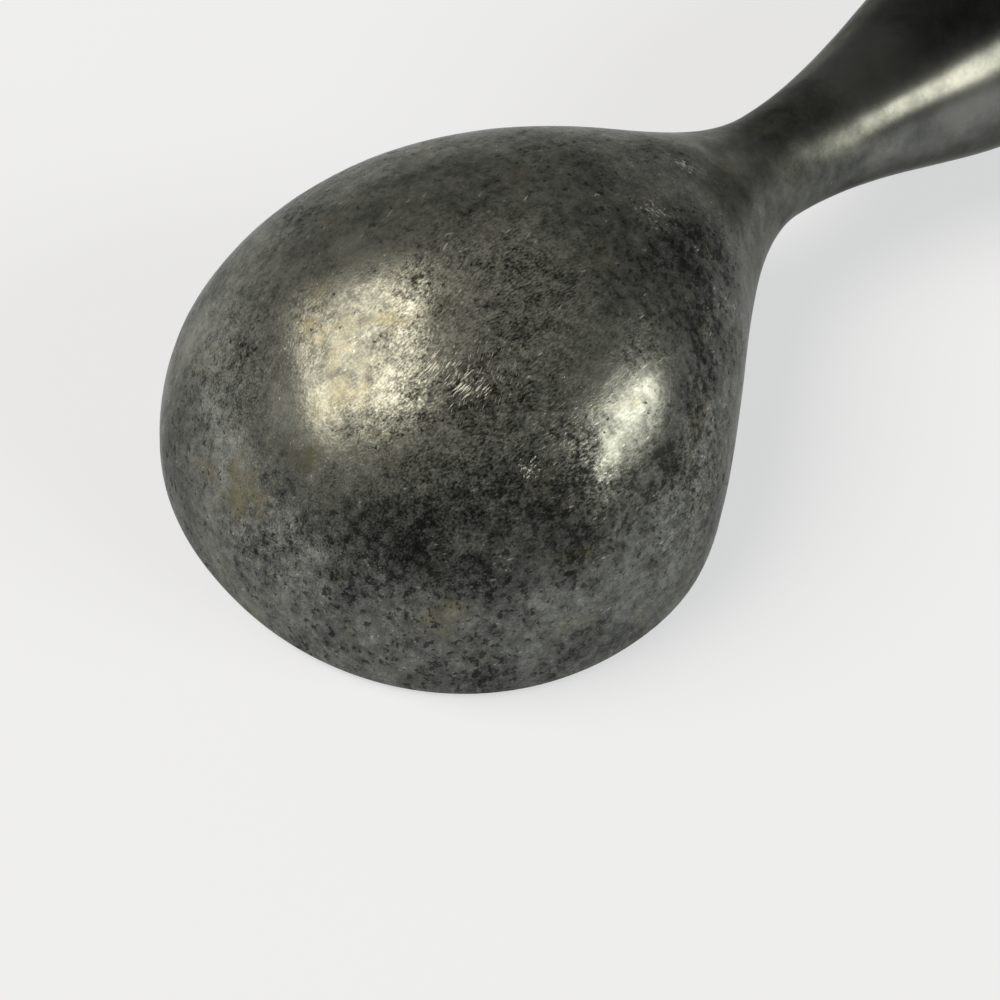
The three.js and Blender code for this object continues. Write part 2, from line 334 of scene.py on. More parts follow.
# aluminium, cast and dressed by hand, then darkened by years of washing: a deep grey skin with a low sheen,
# cloudy and finely grained, with black pits, short bright scratches and warm stains; the handle is worn smoother
# the skin's colour also holds painted light: pale spots of painted highlight and dark spots of painted shade, listed
# with the tone spots below
castLook = {
    "oxide": "#272826", "metal": "#666864", "bare": "#959790", "scoured": "#bbbcb4",
    "handleDark": "#424442", "handle": "#747572", "edge": "#a4a4a1",
    "stain": "#7f7d5e", "stainRed": "#857a64", "pit": "#111211", "scratch": "#efeee7",
    # sizes and depths of the patterns in mm
    "cloudSize": 8.0, "patchSize": 2.6, "blotchSize": 0.9, "crudSize": 0.85, "crudPlace": (37.0, 11.0, 5.0),
    "grainSize": 0.19, "grainLength": 0.40, "stainSize": 4.5, "dressSize": 1.2,
    "pitSpacing": 0.85, "pitRagged": 0.5, "pitRaggedSize": 0.3, "dustSpacing": 9.0, "dustRadius": 0.14,
    "grainDepth": 0.012, "pitDepth": 0.04, "scratchDepth": 0.008, "dressDepth": 0.02,
    # from where to where along x the skin gets worn, pitted and polished
    "wornFrom": -36.0, "wornTo": 8.0, "pittedFrom": -25.0, "pittedTo": -42.0, "polishFrom": -24.0, "polishTo": 8.0,
    # tone of the skin: what each pattern adds, least and most where it follows the grain, and the tone of each colour
    "toneBase": 0.403, "cloudTone": 0.22, "toneAndLightSpotWeight": 0.06, "fullGrain": 1.35,
    "mottleTone": (0.32, 0.72), "blotchTone": (0.16, 0.40), "grainTone": (0.2, 1.12),
    "oxideAt": 0.39, "metalAt": 0.50, "bareAt": 0.62, "scouredAt": 0.76,
    "gripCloud": 0.55, "gripToneAndLightSpots": 0.3, "gripMottle": 0.5, "gripTones": (-0.025, 0.475), "gripMost": 0.8,
    "stainSpread": 0.22, "stainEdge": (0.56, 0.80), "stainMost": 0.65,
    # pits in shares of their spacing, and the crust between them
    "pitlessShare": 0.5, "pitLargest": 0.26, "pitEdge": (-0.03, 0.09),
    "crowdTones": (0.40, 0.58), "crowd": (1.15, 0.35),
    "crustCloud": 0.25, "crustToneAndLight": 0.08, "crustSmooth": 1.2, "crustEdge": (0.53, 0.485), "crustMost": 0.85,
    "pitShade": 0.8, "smoothShade": -9.0,
    "scratchPatch": (0.50, 0.60), "scratchOften": (0.03, 0.45), "knockEnd": 0.85, "knockEdge": 0.07,
    # roughness and metalness
    "sheenTones": (0.38, 0.62), "sheen": (0.36, 0.20), "handleSheen": 0.25, "pitDullness": 0.15,
    "metalShare": (0.70, 0.97), "paleLoss": -0.6,
    "scratchSets": [
        {"turn": (0, 3, 5), "length": 8.0, "spacing": 0.65, "width": 0.13},
        {"turn": (0, -6, 22), "length": 6.0, "spacing": 0.75, "width": 0.13},
        {"turn": (8, 0, -16), "length": 6.0, "spacing": 1.0, "width": 0.13},
    ],
    # bundles of bright strokes: where, along what, how far they spread, the size of a stroke and how many show
    "knocks": [
        {"at": (-71.6, -12.0, 25.8), "along": (0.92, 0.04, 0.38), "reach": 3.6,
         "length": 1.7, "width": 0.13, "bar": 0.49, "amount": 1.0},
        {"at": (-72.5, -8.8, 26.5), "along": (0.9, 0.15, 0.4), "reach": 3.2,
         "length": 1.9, "width": 0.13, "bar": 0.52, "amount": 0.9},
        {"at": (-74.4, -6.4, 26.3), "along": (0.9, 0.05, 0.4), "reach": 2.6,
         "length": 1.9, "width": 0.12, "bar": 0.54, "amount": 0.8},
        {"at": (-71.0, -20.1, 21.3), "along": (0.85, 0.2, 0.49), "reach": 2.4,
         "length": 0.5, "width": 0.2, "bar": 0.5, "amount": 0.8},
        {"at": (-64.5, -24.0, 19.2), "along": (0.85, 0.2, 0.49), "reach": 2.4,
         "length": 0.6, "width": 0.18, "bar": 0.52, "amount": 0.5},
        {"at": (-67.5, -19.5, 22.5), "along": (0.92, 0.0, 0.38), "reach": 9.0,
         "length": 1.1, "width": 0.12, "bar": 0.585, "amount": 0.35},
        {"at": (-70.0, -12.5, 26.0), "along": (0.8, 0.45, 0.4), "reach": 9.0,
         "length": 1.0, "width": 0.12, "bar": 0.585, "amount": 0.4},
        {"at": (-44.6, -7.6, 28.1), "along": (0.6, -0.7, -0.2), "reach": 4.2,
         "length": 0.5, "width": 0.4, "bar": 0.5, "amount": 0.35},
        {"at": (-35.0, -2.8, 25.5), "along": (0.6, -0.7, -0.2), "reach": 2.6,
         "length": 0.7, "width": 0.3, "bar": 0.45, "amount": 0.5},
    ],
    # spots in mm where marks gather: place, how far it reaches, how strong it is at the middle; a tone below 0 is
    # darker, above 0 paler. The tone spots are partly real stains and crust and partly painted light: many pale ones
    # are painted highlights, halos round the highlights and the pale streak on the handle, and many dark ones are
    # painted shade where the metal reflects the dark room.
    "grainSpots": [
        ((-73.0, -12.0, 25.0), 22.0, 1.35),
        ((-82.0, 6.0, 21.0), 13.0, 1.0),
        ((-56.0, -26.5, 14.0), 13.0, 0.4),
        ((-87.0, -5.0, 13.0), 12.0, 0.5),
        ((-63.0, -6.0, 29.5), 12.0, 1.0),
        ((-59.7, -21.7, 21.9), 7.0, -1.0),
        ((-78.0, -2.5, 25.0), 12.0, -0.75),
    ],
    "stainSpots": [
        ((-88.4, -0.6, 14.8), 9.0, 0.8),
        ((-81.5, -21.8, 11.0), 6.5, 0.6),
        ((-82.6, -5.7, 21.0), 7.0, 0.5),
        ((-75.8, -1.5, 26.5), 11.0, 0.65),
        ((-89.6, -1.2, 12.6), 5.0, 0.6),
    ],
    "toneAndPaintedLightSpots": [
        ((-83.2, -15.2, 15.8), 7.5, -1.6),
        ((-70.7, -24.2, 17.2), 9.0, -0.8),
        ((-77.9, -24.3, 11.9), 9.0, -0.35),
        ((-48.2, -10.9, 27.8), 12.0, -0.65),
        ((-41.8, -11.9, 24.7), 9.0, -0.9),
        ((-50.5, -22.5, 18.5), 9.0, -0.8),
        ((-91.0, -5.0, 8.5), 7.0, -0.8),
        ((-47.0, -18.5, 22.0), 7.0, -0.9),
        ((-15.5, -1.4, 20.0), 8.0, -0.9),
        ((-15.5, -5.5, 17.5), 14.0, -1.0),
        ((-18.0, -8.5, 12.0), 8.0, 1.2),
        ((8.0, -2.5, 24.5), 11.0, -0.6),
        ((6.0, -9.0, 18.0), 9.0, 0.8),
        ((-4.0, 0.5, 21.5), 10.0, 1.3),
        ((-0.8, -1.6, 22.1), 3.5, 1.0),
        ((-9.6, -6.0, 17.0), 2.0, 1.2),
        ((-16.8, -3.7, 18.9), 2.6, 0.9),
        ((-82.5, -20.5, 11.0), 8.0, -0.4),
        ((-58.5, 6.3, 30.3), 10.0, 0.4),
        ((-82.0, 6.0, 21.0), 9.0, 0.6),
        ((-59.0, -21.2, 22.3), 6.0, 0.5),
        ((-64.5, -23.2, 20.0), 5.0, -0.7),
        ((-55.2, -27.6, 11.5), 9.0, -0.9),
        ((-57.0, -25.0, 16.0), 6.0, -0.7),
        ((-70.0, -29.0, 8.0), 10.0, -0.4),
        ((-81.2, 12.0, 20.1), 10.0, 0.8),
        ((-68.6, -15.6, 25.1), 9.0, 0.5),
        ((-76.0, -2.0, 26.0), 10.0, 0.3),
        ((-83.0, -6.3, 20.4), 11.0, 0.65),
        ((-88.4, -0.6, 14.8), 8.0, 0.6),
        ((-63.0, -8.5, 29.0), 12.0, 1.0),
        ((-58.5, -23.4, 19.9), 4.5, -1.0),
        ((-61.3, -25.4, 17.6), 5.0, -1.0),
        ((-63.0, -26.7, 15.4), 5.0, -0.7),
        ((-83.0, -0.6, 21.1), 5.0, 2.8),
        ((-80.8, -5.7, 22.4), 3.5, -1.0),
        ((-82.5, -9.3, 20.0), 4.5, 0.6),
        ((-70.1, -8.6, 27.5), 4.5, 2.0),
        ((-73.2, -11.4, 25.4), 3.5, 0.5),
        ((-70.3, 5.5, 28.2), 5.0, 1.6),
        ((-83.0, 16.1, 15.7), 6.0, 0.8),
        ((-83.7, -22.8, 4.8), 8.0, -0.5),
        ((-86.6, -14.8, 11.7), 6.0, -0.5),
        ((-38.2, -12.9, 21.2), 5.0, -1.1),
        ((-44.4, -5.5, 28.8), 6.0, 0.4),
        ((-2.5, -0.4, 21.9), 8.0, 0.5),
        ((-56.1, -18.2, 24.7), 4.0, -1.0),
        ((-66.0, -21.1, 21.9), 4.0, -0.7),
        ((-81.7, 18.6, 15.0), 5.0, 1.4),
        ((-72.7, 20.6, 20.1), 5.0, 0.7),
        ((-72.8, 0.6, 27.7), 3.5, 0.7),
        ((-84.3, -4.6, 19.5), 3.5, 0.6),
        ((-42.1, -7.6, 27.3), 4.0, 0.5),
        ((-75.8, 5.9, 25.7), 3.0, -0.6),
        ((-17.7, -4.6, 18.1), 2.5, -0.7),
        ((-80.7, -25.9, 2.0), 5.0, -1.0),
        ((-65.1, -30.9, 2.6), 4.0, -0.5),
        ((-5.2, -6.0, 18.4), 3.0, -0.8),
        ((-0.8, -7.8, 17.0), 4.0, -0.6),
        ((1.4, -5.5, 20.9), 3.0, 0.8),
        ((-2.2, -4.2, 20.8), 3.0, 0.8),
        ((-56.6, -20.7, 22.6), 3.0, 1.0),
        ((-63.8, -22.9, 20.5), 3.0, 1.0),
        ((-81.4, 7.9, 21.4), 4.0, -0.8),
        ((-87.0, -3.6, 16.6), 4.0, -0.8),
        ((-87.2, -8.5, 14.9), 4.0, -0.7),
        ((-92.2, -4.3, 4.7), 4.0, -0.7),
        ((-83.5, -16.5, 14.8), 4.0, 0.5),
        ((-87.3, -14.2, 10.9), 5.0, -0.5),
        ((-75.1, -19.3, 19.9), 4.0, -0.9),
        ((-71.1, -26.9, 13.0), 4.0, -0.9),
        ((-77.7, -22.6, 14.6), 4.0, -0.6),
        ((-57.4, -11.0, 28.9), 4.0, -0.9),
        ((-74.8, -12.6, 24.2), 4.0, 0.6),
        ((-57.7, -25.3, 17.3), 3.5, -0.7),
    ],
    "smoothSpots": [
        ((-59.7, -21.7, 21.9), 10.0, 0.1),
        ((-77.0, -2.0, 25.5), 14.0, 0.05),
        ((-15.0, -5.5, 17.5), 14.0, -0.22),
        ((-81.6, 8.4, 21.2), 9.0, -0.03),
        ((-68.0, -29.8, 4.5), 10.0, 0.05),
    ],
}


def castAluminium(look):
    material, tree, mm = startMaterial("tarnished_cast_aluminium")
    xyz = addNode(tree, "ShaderNodeSeparateXYZ", {}, {"Vector": mm})
    worn = addNode(tree, "ShaderNodeMapRange", {"interpolation_type": "SMOOTHSTEP"}, {
        "Value": xyz.outputs["X"], "From Min": look["wornFrom"], "From Max": look["wornTo"]}).outputs["Result"]
    fresh = addNode(tree, "ShaderNodeMapRange", {"interpolation_type": "SMOOTHSTEP"}, {
        "Value": xyz.outputs["X"], "From Min": look["pittedFrom"], "From Max": look["pittedTo"]}).outputs["Result"]

    # places where marks gather, and where the tone spots paint highlights and shade
    gathered = {}
    for kind in ("grainSpots", "stainSpots", "toneAndPaintedLightSpots", "smoothSpots"):
        gathered[kind] = 0.0
        for place, reach, amount in look[kind]:
            apart = addNode(tree, "ShaderNodeVectorMath", {"operation": "DISTANCE"}, {0: mm, 1: place})
            near = addNode(tree, "ShaderNodeMapRange", {"interpolation_type": "SMOOTHSTEP"}, {
                "Value": apart.outputs["Value"], "From Min": reach, "From Max": 0.0, "To Max": amount})
            gathered[kind] = addNode(tree, "ShaderNodeMath", {"operation": "ADD"}, {
                0: near.outputs["Result"], 1: gathered[kind]}).outputs[0]

    # tone: slow clouds, a skin mottled at every size, and a fine grain drawn out along the scoop
    cloud = addNode(tree, "ShaderNodeTexNoise", {}, {
        "Vector": mm, "Scale": 1 / look["cloudSize"], "Detail": 2.0, "Roughness": 0.5}).outputs["Fac"]
    patch = addNode(tree, "ShaderNodeTexNoise", {}, {
        "Vector": mm, "Scale": 1 / look["patchSize"], "Detail": 7.0, "Roughness": 0.8}).outputs["Fac"]
    alongGrain = addNode(tree, "ShaderNodeMapping", {"vector_type": "TEXTURE"}, {
        "Vector": mm, "Scale": (look["grainLength"], look["grainSize"], look["grainSize"])})
    grain = addNode(tree, "ShaderNodeTexNoise", {}, {
        "Vector": alongGrain.outputs["Vector"], "Scale": 1.0, "Detail": 3.0, "Roughness": 0.7}).outputs["Fac"]
    blotch = addNode(tree, "ShaderNodeTexNoise", {}, {
        "Vector": mm, "Scale": 1 / look["blotchSize"], "Detail": 2.0, "Roughness": 0.5}).outputs["Fac"]
    uneven = {}
    for name, pattern in (("mottleTone", patch), ("blotchTone", blotch), ("grainTone", grain)):
        uneven[name] = addNode(tree, "ShaderNodeMath", {"operation": "SUBTRACT"}, {0: pattern, 1: 0.5}).outputs[0]
    tone = addNode(tree, "ShaderNodeMath", {"operation": "MULTIPLY_ADD"}, {
        0: cloud, 1: look["cloudTone"], 2: look["toneBase"]}).outputs[0]
    for name, pattern in uneven.items():
        least, most = look[name]
        share = addNode(tree, "ShaderNodeMapRange", {}, {
            "Value": gathered["grainSpots"], "From Max": look["fullGrain"],
            "To Min": least, "To Max": most}).outputs["Result"]
        if name != "mottleTone":  # only the mottling carries on over the handle
            share = addNode(tree, "ShaderNodeMath", {"operation": "MULTIPLY"}, {0: share, 1: fresh}).outputs[0]
        tone = addNode(tree, "ShaderNodeMath", {"operation": "MULTIPLY_ADD"}, {
            0: pattern, 1: share, 2: tone}).outputs[0]
    # tone spots: real stains and crust, and painted highlights and painted shade laid into the skin's colour
    tone = addNode(tree, "ShaderNodeMath", {"operation": "MULTIPLY_ADD"}, {
        0: gathered["toneAndPaintedLightSpots"], 1: look["toneAndLightSpotWeight"], 2: tone}).outputs[0]
    skin = addNode(tree, "ShaderNodeValToRGB", {}, {"Fac": tone})
    stops = skin.color_ramp.elements
    stops[0].position, stops[0].color = look["oxideAt"], hexColour(look["oxide"])
    stops[1].position, stops[1].color = look["scouredAt"], hexColour(look["scoured"])
    stops.new(look["metalAt"]).color = hexColour(look["metal"])
    stops.new(look["bareAt"]).color = hexColour(look["bare"])

    # handle: smeared between two greys where it is gripped, and by the tone spots, which paint highlight and shade on
    # either side of its pale streak
    smearAndPaintedStreak = addNode(tree, "ShaderNodeMath", {"operation": "MULTIPLY"}, {0: cloud, 1: look["gripCloud"]}).outputs[0]
    smearAndPaintedStreak = addNode(tree, "ShaderNodeMath", {"operation": "MULTIPLY_ADD"}, {
        0: gathered["toneAndPaintedLightSpots"], 1: look["gripToneAndLightSpots"], 2: smearAndPaintedStreak}).outputs[0]
    smearAndPaintedStreak = addNode(tree, "ShaderNodeMath", {"operation": "MULTIPLY_ADD"}, {
        0: uneven["mottleTone"], 1: look["gripMottle"], 2: smearAndPaintedStreak}).outputs[0]
    smearAndPaintedStreak = addNode(tree, "ShaderNodeMapRange", {}, {
        "Value": smearAndPaintedStreak, "From Min": look["gripTones"][0], "From Max": look["gripTones"][1]}).outputs["Result"]
    grip = addNode(tree, "ShaderNodeMix", {"data_type": "RGBA"}, {
        0: smearAndPaintedStreak, 6: hexColour(look["handleDark"]), 7: hexColour(look["handle"])}).outputs[2]
    rubbed = addNode(tree, "ShaderNodeMath", {"operation": "MULTIPLY"}, {0: worn, 1: look["gripMost"]}).outputs[0]
    colour = addNode(tree, "ShaderNodeMix", {"data_type": "RGBA"}, {
        0: rubbed, 6: skin.outputs["Color"], 7: grip}).outputs[2]

    # stains: warm films with ragged edges
    stainNoise = addNode(tree, "ShaderNodeTexNoise", {}, {
        "Vector": mm, "Scale": 1 / look["stainSize"], "Detail": 5.0, "Roughness": 0.65}).outputs["Fac"]
    stainReach = addNode(tree, "ShaderNodeMath", {"operation": "MULTIPLY_ADD"}, {
        0: gathered["stainSpots"], 1: look["stainSpread"], 2: stainNoise}).outputs[0]
    stain = addNode(tree, "ShaderNodeMapRange", {"interpolation_type": "SMOOTHSTEP"}, {
        "Value": stainReach, "From Min": look["stainEdge"][0], "From Max": look["stainEdge"][1],
        "To Max": look["stainMost"]}).outputs["Result"]
    film = addNode(tree, "ShaderNodeMix", {"data_type": "RGBA"}, {
        0: patch, 6: hexColour(look["stain"]), 7: hexColour(look["stainRed"])}).outputs[2]
    colour = addNode(tree, "ShaderNodeMix", {"data_type": "RGBA"}, {
        0: stain, 6: colour, 7: film}).outputs[2]

    # pits: ragged black specks of all sizes, most of them where the skin is dark
    shake = addNode(tree, "ShaderNodeTexNoise", {}, {
        "Vector": mm, "Scale": 1 / look["pitRaggedSize"], "Detail": 1.0})
    shift = addNode(tree, "ShaderNodeVectorMath", {"operation": "MULTIPLY_ADD"}, {
        0: shake.outputs["Color"], 1: (look["pitRagged"],) * 3, 2: mm})
    cells = addNode(tree, "ShaderNodeTexVoronoi", {}, {
        "Vector": shift.outputs["Vector"], "Scale": 1 / look["pitSpacing"]})
    pick = addNode(tree, "ShaderNodeSeparateXYZ", {}, {"Vector": cells.outputs["Color"]}).outputs["X"]
    pitRadius = addNode(tree, "ShaderNodeMapRange", {}, {
        "Value": pick, "From Min": look["pitlessShare"], "To Max": look["pitLargest"]}).outputs["Result"]
    crowd = addNode(tree, "ShaderNodeMapRange", {}, {
        "Value": tone, "From Min": look["crowdTones"][0], "From Max": look["crowdTones"][1],
        "To Min": look["crowd"][0], "To Max": look["crowd"][1]}).outputs["Result"]
    pitRadius = addNode(tree, "ShaderNodeMath", {"operation": "MULTIPLY"}, {0: pitRadius, 1: crowd}).outputs[0]
    pitRadius = addNode(tree, "ShaderNodeMath", {"operation": "MULTIPLY"}, {0: pitRadius, 1: fresh}).outputs[0]
    into = addNode(tree, "ShaderNodeMath", {"operation": "SUBTRACT"}, {
        0: pitRadius, 1: cells.outputs["Distance"]}).outputs[0]
    hole = addNode(tree, "ShaderNodeMapRange", {"interpolation_type": "SMOOTHSTEP"}, {
        "Value": into, "From Min": look["pitEdge"][0], "From Max": look["pitEdge"][1]}).outputs["Result"]

    # crust: dark crumbs of oxide, thickest where the skin is dark and dull and where the tone spots paint shade
    elsewhere = addNode(tree, "ShaderNodeVectorMath", {"operation": "ADD"}, {0: mm, 1: look["crudPlace"]})
    crud = addNode(tree, "ShaderNodeTexNoise", {}, {
        "Vector": elsewhere.outputs["Vector"], "Scale": 1 / look["crudSize"],
        "Detail": 4.0, "Roughness": 0.65}).outputs["Fac"]
    thins = {"crustCloud": cloud, "crustToneAndLight": gathered["toneAndPaintedLightSpots"], "crustSmooth": gathered["smoothSpots"]}
    for name, place in thins.items():
        crud = addNode(tree, "ShaderNodeMath", {"operation": "MULTIPLY_ADD"}, {
            0: place, 1: look[name], 2: crud}).outputs[0]
    crust = addNode(tree, "ShaderNodeMapRange", {"interpolation_type": "SMOOTHSTEP"}, {
        "Value": crud, "From Min": look["crustEdge"][0], "From Max": look["crustEdge"][1],
        "To Max": look["crustMost"]}).outputs["Result"]
    crust = addNode(tree, "ShaderNodeMath", {"operation": "MULTIPLY"}, {0: crust, 1: fresh}).outputs[0]
    pit = addNode(tree, "ShaderNodeMath", {"operation": "MAXIMUM"}, {0: hole, 1: crust}).outputs[0]
    darkest = addNode(tree, "ShaderNodeMath", {"operation": "MULTIPLY_ADD", "use_clamp": True}, {
        0: gathered["smoothSpots"], 1: look["smoothShade"], 2: look["pitShade"]}).outputs[0]
    pitShade = addNode(tree, "ShaderNodeMath", {"operation": "MULTIPLY"}, {0: pit, 1: darkest}).outputs[0]
    colour = addNode(tree, "ShaderNodeMix", {"data_type": "RGBA"}, {
        0: pitShade, 6: colour, 7: hexColour(look["pit"])}).outputs[2]

    # scratches: short strokes in three directions, thinly spread
    scratch = 0.0
    for run in look["scratchSets"]:
        laid = addNode(tree, "ShaderNodeMapping", {"vector_type": "TEXTURE"}, {
            "Vector": mm, "Rotation": tuple(math.radians(a) for a in run["turn"]),
            "Scale": (run["length"], run["spacing"], run["spacing"])})
        cell = addNode(tree, "ShaderNodeTexVoronoi", {}, {"Vector": laid.outputs["Vector"], "Scale": 1.0})
        line = addNode(tree, "ShaderNodeMapRange", {}, {
            "Value": cell.outputs["Distance"],
            "From Min": run["width"], "From Max": run["width"] / 2}).outputs["Result"]
        scratch = addNode(tree, "ShaderNodeMath", {"operation": "MAXIMUM"}, {0: line, 1: scratch}).outputs[0]
    often = addNode(tree, "ShaderNodeMapRange", {}, {
        "Value": patch, "From Min": look["scratchPatch"][0], "From Max": look["scratchPatch"][1],
        "To Min": look["scratchOften"][0], "To Max": look["scratchOften"][1]}).outputs["Result"]
    often = addNode(tree, "ShaderNodeMath", {"operation": "MULTIPLY"}, {0: often, 1: fresh}).outputs[0]
    scratch = addNode(tree, "ShaderNodeMath", {"operation": "MULTIPLY"}, {0: scratch, 1: often}).outputs[0]

    # knocks: bundles of bright strokes where the metal was hit
    for knock in look["knocks"]:
        turned = Vector(knock["along"]).to_track_quat("X", "Z").to_euler()
        laid = addNode(tree, "ShaderNodeMapping", {"vector_type": "TEXTURE"}, {
            "Vector": mm, "Location": knock["at"], "Rotation": tuple(turned),
            "Scale": (knock["length"], knock["width"], 1.0)}).outputs["Vector"]
        stroke = addNode(tree, "ShaderNodeTexNoise", {"noise_dimensions": "2D"}, {
            "Vector": laid, "Scale": 1.0, "Detail": 2.0, "Roughness": 0.55}).outputs["Fac"]
        apart = addNode(tree, "ShaderNodeVectorMath", {"operation": "DISTANCE"}, {0: mm, 1: knock["at"]})
        bar = addNode(tree, "ShaderNodeMapRange", {}, {
            "Value": apart.outputs["Value"], "From Max": knock["reach"],
            "To Min": knock["bar"], "To Max": look["knockEnd"]}).outputs["Result"]
        over = addNode(tree, "ShaderNodeMath", {"operation": "SUBTRACT"}, {0: stroke, 1: bar}).outputs[0]
        bright = addNode(tree, "ShaderNodeMapRange", {}, {
            "Value": over, "From Max": look["knockEdge"], "To Max": knock["amount"]}).outputs["Result"]
        scratch = addNode(tree, "ShaderNodeMath", {"operation": "MAXIMUM"}, {0: bright, 1: scratch}).outputs[0]

    # specks of pale dust, far apart
    dust = addNode(tree, "ShaderNodeTexVoronoi", {}, {
        "Vector": mm, "Scale": 1 / look["dustSpacing"]}).outputs["Distance"]
    dustShare = look["dustRadius"] / look["dustSpacing"]
    speck = addNode(tree, "ShaderNodeMapRange", {}, {
        "Value": dust, "From Min": dustShare, "From Max": dustShare / 2}).outputs["Result"]
    speck = addNode(tree, "ShaderNodeMath", {"operation": "MULTIPLY"}, {0: speck, 1: fresh}).outputs[0]
    pale = addNode(tree, "ShaderNodeMath", {"operation": "MAXIMUM"}, {0: scratch, 1: speck}).outputs[0]
    colour = addNode(tree, "ShaderNodeMix", {"data_type": "RGBA"}, {
        0: pale, 6: colour, 7: hexColour(look["scratch"])}).outputs[2]

    # sheen: rougher where it is dark and pitted
    sheen = addNode(tree, "ShaderNodeMapRange", {}, {
        "Value": tone, "From Min": look["sheenTones"][0], "From Max": look["sheenTones"][1],
        "To Min": look["sheen"][0], "To Max": look["sheen"][1]}).outputs["Result"]
    polish = addNode(tree, "ShaderNodeMapRange", {"interpolation_type": "SMOOTHSTEP"}, {
        "Value": xyz.outputs["X"], "From Min": look["polishFrom"], "From Max": look["polishTo"]}).outputs["Result"]
    sheen = addNode(tree, "ShaderNodeMath", {"operation": "SUBTRACT"}, {
        0: sheen, 1: gathered["smoothSpots"]}).outputs[0]
    sheen = addNode(tree, "ShaderNodeMix", {}, {0: polish, 2: sheen, 3: look["handleSheen"]}).outputs[0]
    sheen = addNode(tree, "ShaderNodeMath", {"operation": "MULTIPLY_ADD"}, {
        0: pit, 1: look["pitDullness"], 2: sheen}).outputs[0]

    # relief in mm
    dressing = addNode(tree, "ShaderNodeTexNoise", {}, {
        "Vector": elsewhere.outputs["Vector"], "Scale": 1 / look["dressSize"],
        "Detail": 2.0, "Roughness": 0.5}).outputs["Fac"]
    relief = addNode(tree, "ShaderNodeMath", {"operation": "MULTIPLY"}, {
        0: dressing, 1: look["dressDepth"]}).outputs[0]
    relief = addNode(tree, "ShaderNodeMath", {"operation": "MULTIPLY_ADD"}, {
        0: grain, 1: look["grainDepth"], 2: relief}).outputs[0]
    relief = addNode(tree, "ShaderNodeMath", {"operation": "MULTIPLY"}, {0: relief, 1: fresh}).outputs[0]
    relief = addNode(tree, "ShaderNodeMath", {"operation": "MULTIPLY_ADD"}, {
        0: hole, 1: -look["pitDepth"], 2: relief}).outputs[0]
    relief = addNode(tree, "ShaderNodeMath", {"operation": "MULTIPLY_ADD"}, {
        0: scratch, 1: -look["scratchDepth"], 2: relief}).outputs[0]
    bump = addNode(tree, "ShaderNodeBump", {}, {"Height": relief, "Distance": 0.001, "Strength": 1.0})

    # a hazy oxide film on the bowl, bare metal on the handle
    metallic = addNode(tree, "ShaderNodeMapRange", {}, {
        "Value": worn, "To Min": look["metalShare"][0], "To Max": look["metalShare"][1]}).outputs["Result"]
    metallic = addNode(tree, "ShaderNodeMath", {"operation": "MULTIPLY_ADD"}, {
        0: pale, 1: look["paleLoss"], 2: metallic}).outputs[0]
    finishMaterial(tree, {
        "Base Color": colour, "Metallic": metallic, "Roughness": sheen, "Normal": bump.outputs["Normal"],
        "Specular Tint": hexColour(look["edge"])})
    return material


scoopCasting(castingShape, castAluminium(castLook))


# end plug: turned, pressed into the bore, with a rounded head that carries on the line of the handle

plugShape = {
    "seat": 151.3, "headEnd": 156.8, "headRadius": 12.0, "headRound": 3.5, "seatRound": 0.35,
    "spigotEnd": 137.0, "spigotRadius": 9.3, "spigotRound": 1.0,
    "grooveRadius": 7.0, "grooveFrom": 142.7, "grooveTo": 145.3, "grooveRound": 0.25,
    "dimpleRadius": 1.6, "dimpleDepth": 0.5, "axis": 13.8, "sides": 128, "roundSteps": 8,
}


def turnedPiece(corners, axis, sides, roundSteps):
    # a profile of (x, radius, edge round) corners, rounded and then spun about the handle's axis
    bm = bmesh.new()
    line = [bm.verts.new((x, 0, axis + radius)) for x, radius, edge in corners]
    for near, far in zip(line, line[1:]):
        bm.edges.new((near, far))
    for vert, (x, radius, edge) in zip(line, corners):
        if edge > 0:
            bmesh.ops.bevel(bm, geom=[vert], offset=edge, offset_type="OFFSET", segments=roundSteps,
                            profile=0.5, affect="VERTICES", material=-1)
    bmesh.ops.spin(bm, geom=bm.verts[:] + bm.edges[:], cent=(0, 0, axis), axis=(1, 0, 0), dvec=(0, 0, 0),
                   angle=2 * math.pi, steps=sides, use_merge=True, use_duplicate=False)
    return bm


def endPlug(s, material):
    corners = [
        (s["spigotEnd"], 0, 0), (s["spigotEnd"], s["spigotRadius"], s["spigotRound"]),
        (s["grooveFrom"], s["spigotRadius"], s["grooveRound"]), (s["grooveFrom"], s["grooveRadius"], 0),
        (s["grooveTo"], s["grooveRadius"], 0), (s["grooveTo"], s["spigotRadius"], s["grooveRound"]),
        (s["seat"], s["spigotRadius"], 0), (s["seat"], s["headRadius"], s["seatRound"]),
        (s["headEnd"], s["headRadius"], s["headRound"]), (s["headEnd"], s["dimpleRadius"], s["seatRound"]),
        (s["headEnd"] - s["dimpleDepth"], 0, 0),
    ]
    bm = turnedPiece(corners, s["axis"], s["sides"], s["roundSteps"])
    finishPiece("turned_plug", bm, material, "end_plug")


# aluminium bar, turned on a lathe and dulled by handling: fine rings round the axis and a soft grey shine
plugLook = {
    "metal": "#70716d", "grime": "#4a4a46", "grimeSize": 5.0, "grimeEdge": (0.32, 0.72), "grimeMost": 0.8,
    "ringSpacing": 0.22, "ringUnit": 0.314, "ringWander": 0.4, "ringDepth": 0.006, "axis": 13.8,
    "metallic": 0.95, "sheen": (0.28, 0.48),
}


